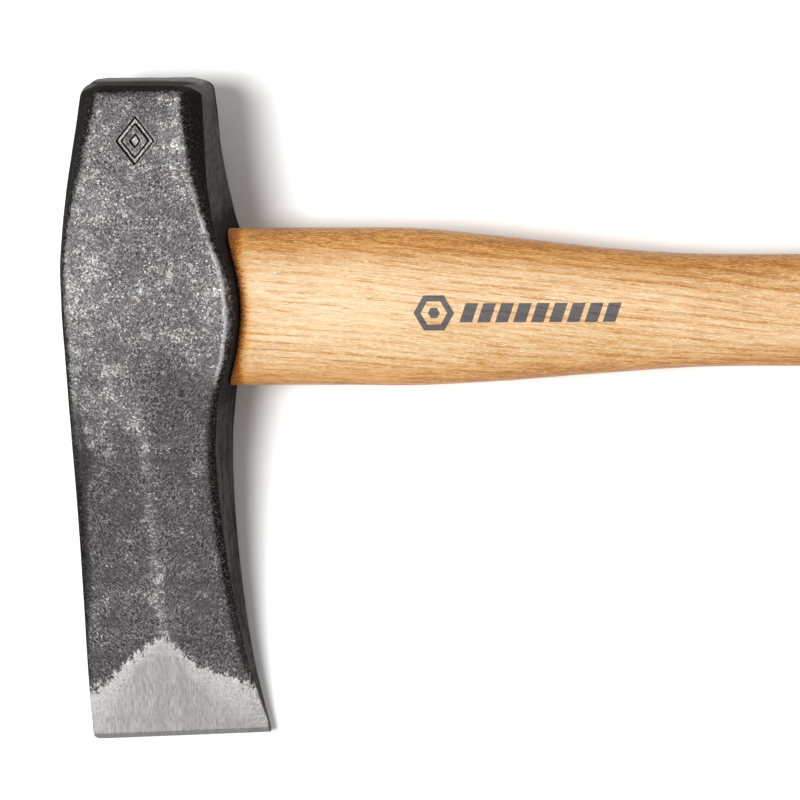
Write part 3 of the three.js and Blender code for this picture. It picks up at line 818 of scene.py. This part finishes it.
grip_half_height = smooth_track([
    (0, 25.7), (60, 25.7), (84, 25.6), (112, 23.5), (142, 20.6), (172, 18.4), (210, 18),
    (420, 17.6), (600, 17.4), (670, 17.8), (715, 20), (748, 23.2), (BUTT_X, 24),
])
grip_half_thickness = smooth_track([
    (0, 14.2), (70, 14), (170, 12.8), (420, 12.6), (640, 12.8), (715, 14.2), (BUTT_X, 15.8),
])
grip_centre = smooth_track([
    (0, -0.1), (85, -0.2), (115, -0.9), (150, -1.5), (190, -1.5), (400, -1.5), (600, -2),
    (700, -3.4), (BUTT_X, -5),
])

GRIP_SHARE = 0.994  # keeps the round sections inside the CAD model's faceted ones
SHOULDER_X = 26  # where the sections of the shoulder against the head are taken
SHOULDER_END_X = 42  # where the handle's rings are flat again behind the curved shoulder
BUTT_CLOSING = 0.36  # how much smaller the butt's end face is than the oval before it
KERF_DEPTH, KERF_MOUTH, KERF_BOTTOM = 40, 5.4, 1.8
KERF_CUTTER_HALF = 40  # more than the tenon's half height
RING_RADIUS, RING_WALL, RING_LENGTH, RING_TAPER, RING_PROUD = 8.5, 1.7, 14, 0.6, 0.4
RING_SAMPLES = 96
FINE_STEP, COARSE_STEP, COARSE_START_X = 1.3, 2.6, 240  # rows are further apart beyond the photo


def grip_rings(x, share=1.0):
    share = share * GRIP_SHARE
    return oval(x, grip_half_height(x) * share, grip_half_thickness(x) * share, grip_centre(x))


def tenon_rings(x, share=1.0):
    return oval(x, (eye_height(x) - GAP) * share, (eye_depth(x) - GAP) * share, 0 * x)


def against_head(rings, behind=0.0):
    """The rings with each point moved along x to the head's bulged side, plus the gap."""
    rings = rings.copy()
    rings[..., 0] = grip_side(rings[..., 1]) + GAP + behind
    return rings


def sleeve_rings(spare):
    """The ring wedge's section, closed on itself, grown by spare: one row for each corner."""
    outer, inner = RING_RADIUS + spare, RING_RADIUS - RING_WALL - spare
    start, end = TENON_END_X - RING_PROUD - spare, TENON_END_X + RING_LENGTH + spare
    round_off = 0.0 if spare else 0.25
    outer_end, inner_end = outer - RING_TAPER, inner + RING_TAPER / 2
    section = [
        (start + round_off, inner), (start, inner + round_off),
        (start, outer - round_off), (start + round_off, outer),
        (end - round_off, outer_end), (end, outer_end - 0.3),
        (end, inner_end + 0.1), (end - 0.3, inner_end),
    ]
    angle = 2 * np.pi * np.arange(RING_SAMPLES) / RING_SAMPLES
    return np.array([[(x, r * math.cos(a), r * math.sin(a)) for a in angle] for x, r in section])


def slot_rings(spare, start, end, half_height, power):
    """The kerf's tapering shape from start to end, made thinner by spare on each side."""
    x = np.linspace(start, end, 14)
    share = (x - TENON_END_X) / KERF_DEPTH
    thickness = (KERF_MOUTH + (KERF_BOTTOM - KERF_MOUTH) * share) / 2 - spare
    return oval(x, half_height(x), thickness, 0 * x, 64, power)


def make_handle(material):
    # the tenon in the eye, then the shoulder against the head, the grip and the rounded butt
    tenon_x = np.array([TENON_END_X, TENON_END_X + 0.35, *np.linspace(TENON_END_X + 2, 19, 16)])
    tenon_share = np.array([0.975, *np.ones(len(tenon_x) - 1)])
    tenon = tenon_rings(tenon_x, tenon_share)
    shoulder_x = np.array([float(SHOULDER_X)])
    corner = against_head(tenon_rings(shoulder_x), -0.02)
    rim = against_head(grip_rings(shoulder_x, 0.985))
    edge = against_head(grip_rings(shoulder_x), 0.35)
    flat = grip_rings(np.array([float(SHOULDER_END_X)]))
    steps = np.linspace(0, 1, 13)[1:, None, None]
    blend = edge + (flat - edge) * steps
    near_x = np.arange(SHOULDER_END_X + FINE_STEP, COARSE_START_X, FINE_STEP)
    far_x = np.arange(COARSE_START_X, BUTT_X - BUTT_ROUNDING, COARSE_STEP)
    butt_turn = np.sin(np.linspace(0, np.pi / 2, 14))
    butt_x = BUTT_X - BUTT_ROUNDING + BUTT_ROUNDING * butt_turn
    butt_share = 1 - BUTT_CLOSING * (1 - np.sqrt(1 - butt_turn**2))
    butt = grip_rings(butt_x, butt_share)
    end = grip_rings(np.full(6, butt_x[-1]), butt_share[-1] * np.linspace(0.97, 0.15, 6))
    grip = grip_rings(np.concatenate([near_x, far_x]))
    rings = np.concatenate([tenon, corner, rim, edge, blend, grip, butt, end])
    handle = mesh_object("hickory_handle", rings)
    kerf_end = TENON_END_X + KERF_DEPTH
    kerf = slot_rings(0, TENON_END_X - 3, kerf_end, lambda x: 0 * x + KERF_CUTTER_HALF, 0.25)
    kerf_cutter = mesh_object("kerf_cutter", kerf)
    cut_away(handle, kerf_cutter, loop_object("groove_cutter", sleeve_rings(GAP)))
    paint_handle(handle)
    finish_piece(handle, "handle", material, sharp_angle=45)


def paint_handle(handle):
    """Point values that the wood reads.

    height runs from -1 to 1 over the oval, and behind_head is the distance from the head."""
    x, y, _ = tool_points(handle).T
    height = (y - grip_centre(x)) / grip_half_height(x)
    put_value(handle, "height", np.where(x > 20, height, 0))
    put_value(handle, "behind_head", np.where(x > 18, x - grip_side(y) - GAP, 50))


PRINT_X, PRINT_Y = 91.5, -0.3
HEXAGON_REACH, HEXAGON_HALF_LINE, HEXAGON_MIDDLE = 4.7, 1.0, 1.7
BAR_START_X, BAR_LENGTH, BAR_HALF_HEIGHT, BAR_LEAN = PRINT_X + 8.4, 51.75, 3.1, 0.35
BLOCK_PITCH, BLOCK_HALF_WIDTH = 5.75, 2.05
PRINT_BLUR = 0.07
SIN_60 = 0.866


def print_share(s, x, y):
    """The grey print: a generic hexagon ring with a solid middle, then a bar of slanted blocks."""

    def hexagon(reach):
        dx = s.size_of(s.minus(x, PRINT_X))
        dy = s.size_of(s.minus(y, PRINT_Y))
        slanted = s.plus(s.times(dx, SIN_60), s.times(dy, 0.5))
        return s.minus(s.larger(slanted, dy), reach)

    def inside(distance):
        return s.span(distance, PRINT_BLUR, -PRINT_BLUR, smooth=False)

    ring = s.size_of(s.minus(hexagon(0), HEXAGON_REACH))
    shape = inside(s.minus(ring, HEXAGON_HALF_LINE))
    shape = s.larger(shape, inside(hexagon(HEXAGON_MIDDLE)))
    leaned = s.minus(x, s.times(s.minus(y, PRINT_Y), BAR_LEAN))
    along = s.minus(leaned, BAR_START_X)
    block = s.size_of(s.minus(s.modulo(along, BLOCK_PITCH), BLOCK_PITCH / 2))
    blocks = inside(s.minus(block, BLOCK_HALF_WIDTH))
    blocks = s.times(blocks, inside(s.minus(0.0, along)))
    blocks = s.times(blocks, inside(s.minus(along, BAR_LENGTH)))
    above = s.minus(s.size_of(s.minus(y, PRINT_Y)), BAR_HALF_HEIGHT)
    return s.larger(shape, s.times(blocks, inside(above)))


CREAM_WOOD = (0.79, 0.695, 0.53)
PALE_WOOD = (0.69, 0.515, 0.315)
TAN_WOOD = (0.49, 0.24, 0.07)
BROWN_WOOD = (0.31, 0.125, 0.028)
PORE_BROWN = (0.46, 0.205, 0.052)
# painted shade toward the narrow faces and at the top; burn colours painted lighter against the
# head's cast shadow
NARROW_FACE_SHADED_WOOD, NARROW_FACE_SHADED_LINE = (0.62, 0.295, 0.068), (0.34, 0.125, 0.02)
TOP_SHADED_WOOD, TOP_SHADED_LINE = (0.62, 0.285, 0.058), (0.2, 0.062, 0.009)
TOASTED_WOOD, SCORCH_PAINTED_LIGHTER = (0.7, 0.38, 0.12), (0.8, 0.34, 0.065)
CHAR_DARK_PAINTED_LIGHTER, CHAR_PALE_PAINTED_LIGHTER = (0.26, 0.07, 0.011), (0.6, 0.21, 0.034)
SOOT = (0.012, 0.008, 0.006)
PRINT_GREY = (0.04, 0.043, 0.053)

PITH_BELOW, PITH_BEHIND = 95, 44  # where the growth rings' middle is, in the tool's -y and -z
RING_WIDTH = 2.4
GRAIN_LEAN = 0.1


def hickory():
    s = Shader("lacquered_hickory")
    x, y, z = s.axes

    # the grain runs slightly askew to the handle and wanders: every pattern below follows it
    wander = s.swing(s.noise(60, 2, 0.5, stretch=(3, 1, 1), seed=1), 9)
    wobble = s.swing(s.noise(8, 3, 0.5, stretch=(7, 1, 1), seed=2), 1.8)
    grain_y = s.plus(s.plus(y, s.times(x, GRAIN_LEAN)), s.plus(wander, wobble))
    along = s.joined(x, grain_y, z)

    # growth rings: cylinders round a far pith, each starting with a porous brown line
    from_pith_y = s.plus(grain_y, PITH_BELOW)
    from_pith_z = s.plus(z, PITH_BEHIND)
    squares = s.plus(s.times(from_pith_y, from_pith_y), s.times(from_pith_z, from_pith_z))
    ring = s.fraction(s.over(s.root(squares), RING_WIDTH))
    porous = s.times(s.span(ring, 0.0, 0.1), s.span(ring, 0.45, 0.14))
    breaks = s.noise(8, 3, 0.6, stretch=(7, 1, 1), seed=3, along=along)
    porous = s.times(porous, s.span(breaks, 0.36, 0.62, 0.2, 1))

    fibre = s.noise(0.42, 4, 0.7, stretch=(17, 1, 1), seed=4, along=along)
    thread = s.noise(0.36, 3, 0.7, stretch=(4, 1, 1), seed=5, along=along)
    streak = s.noise(1.5, 4, 0.6, stretch=(30, 1, 1), seed=6, along=along)
    patch = s.noise(17, 3, 0.55, stretch=(3, 1, 1), seed=7, along=along)
    pores = s.noise(0.42, 2, 0.5, stretch=(17, 1, 1), seed=8, along=along)
    dashes = s.span(s.plus(pores, s.times(porous, 0.13)), 0.645, 0.705)
    height = s.value("height")
    edge = s.size_of(height)

    # how far the wood is from pale through tan to brown
    tan = s.plus(s.span(fibre, 0.42, 0.6, 0, 0.58), s.span(thread, 0.38, 0.66, 0, 0.36))
    tan = s.plus(tan, s.span(streak, 0.42, 0.6, 0, 0.4))
    tan = s.plus(tan, s.times(porous, 0.42))
    tan = s.plus(tan, s.span(patch, 0.35, 0.65, -0.1, 0.2))
    # painted shade: darker toward the narrow faces
    tan = s.plus(tan, s.span(edge, 0.25, 1.0, -0.15, 0.35))
    tan = s.plus(tan, s.span(x, 60, 190, 0, 0.26))
    wood = s.mix(s.span(tan, 0.1, 1.5, smooth=False), PALE_WOOD, TAN_WOOD)
    wood = s.mix(s.span(tan, 1.2, 2.1), wood, BROWN_WOOD)
    wood = s.mix(s.times(dashes, s.span(edge, 0.0, 1.0, 0.6, 0.8)), wood, PORE_BROWN)
    glint = s.span(thread, 0.42, 0.32, 0, 0.6)
    wood = s.mix(glint, wood, CREAM_WOOD)

    # painted shade: orange-brown toward the narrow faces and darker at the top; scorched where the
    # head was burned on, the burn painted lighter against the head's cast shadow
    narrow_face_shade = s.span(edge, 0.55, 1.0, 0, 0.85)
    wood = s.mix(narrow_face_shade, wood, s.mix(s.span(tan, 0.5, 1.5), NARROW_FACE_SHADED_WOOD, NARROW_FACE_SHADED_LINE))
    # painted shade: the top of the oval darker and browner
    top = s.span(height, 0.72, 0.95, 0, 0.5)
    top_shade_tone = s.mix(s.span(s.plus(fibre, thread), 0.92, 1.08), TOP_SHADED_WOOD, TOP_SHADED_LINE)
    wood = s.mix(top, wood, top_shade_tone)
    torn = s.swing(s.noise(0.7, 4, 0.8, seed=9, stretch=(3.4, 1, 1)), 10)
    at_ends = s.span(edge, 0.6, 1.0, 0, 3)
    behind = s.plus(s.minus(s.value("behind_head"), at_ends), torn)
    wood = s.mix(s.span(behind, 6.4, 3.4, 0, 0.3), wood, TOASTED_WOOD)
    # painted light: the scorch and char colours are lighter than burned wood, to offset the head's
    # cast shadow
    wood = s.mix(s.span(behind, 3.3, 2.4, 0, 0.85), wood, SCORCH_PAINTED_LIGHTER)
    char_painted_lighter = s.mix(s.span(s.noise(0.5, 3, 0.7, seed=10), 0.43, 0.57), CHAR_DARK_PAINTED_LIGHTER, CHAR_PALE_PAINTED_LIGHTER)
    wood = s.mix(s.span(behind, 2.3, 1.5, 0, 0.92), wood, char_painted_lighter)
    soot = s.plus(s.value("behind_head"), s.times(torn, 0.4))
    wood = s.mix(s.span(soot, 0.25, 0.05, 0, 0.8), wood, SOOT)

    printed = s.times(print_share(s, x, y), s.span(z, 2.0, 4.0))
    worn_ink = s.span(s.plus(fibre, s.times(pores, 0.4)), 0.55, 0.95, 0.97, 0.86)
    wood = s.mix(s.times(printed, worn_ink), wood, PRINT_GREY)

    relief = s.minus(s.times(fibre, -0.5), s.times(dashes, 0.5))
    relief = s.minus(relief, s.times(thread, 0.4))
    rough = s.span(s.plus(dashes, s.times(fibre, 0.5)), 0.1, 0.8, 0.42, 0.6)
    s.set(Base_Color=wood, Roughness=rough, Normal=s.bump(relief, 0.1))
    s.set(Coat_Weight=0.08, Coat_Roughness=0.35, Specular_IOR_Level=0.2)
    return s.material


# ---- Wedges --------------------------------------------------------------------------------------


def make_wooden_wedge(material):
    end = TENON_END_X + KERF_DEPTH - 2 * GAP
    rings = slot_rings(GAP, TENON_END_X + 0.02, end, lambda x: eye_height(x) - GAP - 0.6, 0.22)
    wedge = mesh_object("wooden_wedge_piece", rings)
    cut_away(wedge, loop_object("wedge_groove_cutter", sleeve_rings(GAP)))
    finish_piece(wedge, "wooden_wedge", material)


WEDGE_LIGHT, WEDGE_DARK, WEDGE_LINE = (0.46, 0.27, 0.12), (0.34, 0.185, 0.075), (0.17, 0.085, 0.032)


def wedge_wood():
    s = Shader("raw_wedge_wood")
    fibre = s.noise(0.5, 4, 0.65, stretch=(1, 9, 1), seed=31)
    patch = s.noise(6, 3, 0.5, seed=32)
    wood = s.mix(s.span(patch, 0.3, 0.7), WEDGE_LIGHT, WEDGE_DARK)
    wood = s.mix(s.span(fibre, 0.4, 0.7, 0, 0.6), wood, WEDGE_LINE)
    rough = s.span(fibre, 0.3, 0.7, 0.6, 0.85)
    s.set(Base_Color=wood, Roughness=rough, Normal=s.bump(fibre, 0.15))
    return s.material


RING_DARK, RING_BRIGHT, RING_SPOT = (0.3, 0.295, 0.29), (0.46, 0.455, 0.45), (0.13, 0.1, 0.08)


def ring_steel():
    s = Shader("bright_ring_steel")
    turned = s.noise(0.5, 3, 0.6, seed=41)
    spots = s.span(s.noise(2.5, 5, 0.7, seed=42), 0.5, 0.66)
    steel = s.mix(s.span(turned, 0.35, 0.65), RING_DARK, RING_BRIGHT)
    steel = s.mix(s.times(spots, 0.6), steel, RING_SPOT)
    rough = s.span(turned, 0.3, 0.7, 0.3, 0.5)
    s.set(Base_Color=steel, Roughness=rough, Normal=s.bump(turned, 0.08), Metallic=1.0)
    return s.material


# ---- Floor ---------------------------------------------------------------------------------------

FLOOR_REACH, FLOOR_PALE = 30, (0.93, 0.93, 0.93)  # in metres, and a colour


def make_floor():
    mesh = bpy.data.meshes.new("floor")
    signs = ((-1, -1), (1, -1), (1, 1), (-1, 1))
    corners = [(x * FLOOR_REACH, y * FLOOR_REACH, 0) for x, y in signs]
    mesh.from_pydata(corners, [], [(0, 1, 2, 3)])
    floor = bpy.data.objects.new("floor", mesh)
    bpy.context.scene.collection.objects.link(floor)
    s = Shader("pale_floor")
    s.set(Base_Color=FLOOR_PALE, Roughness=0.9, Specular_IOR_Level=0.1)
    floor.data.materials.append(s.material)


make_head(steel_skin())
make_handle(hickory())
make_wooden_wedge(wedge_wood())
loop = loop_object("ring_wedge_piece", sleeve_rings(0))
finish_piece(loop, "steel_ring_wedge", ring_steel(), sharp_angle=60)
make_floor()
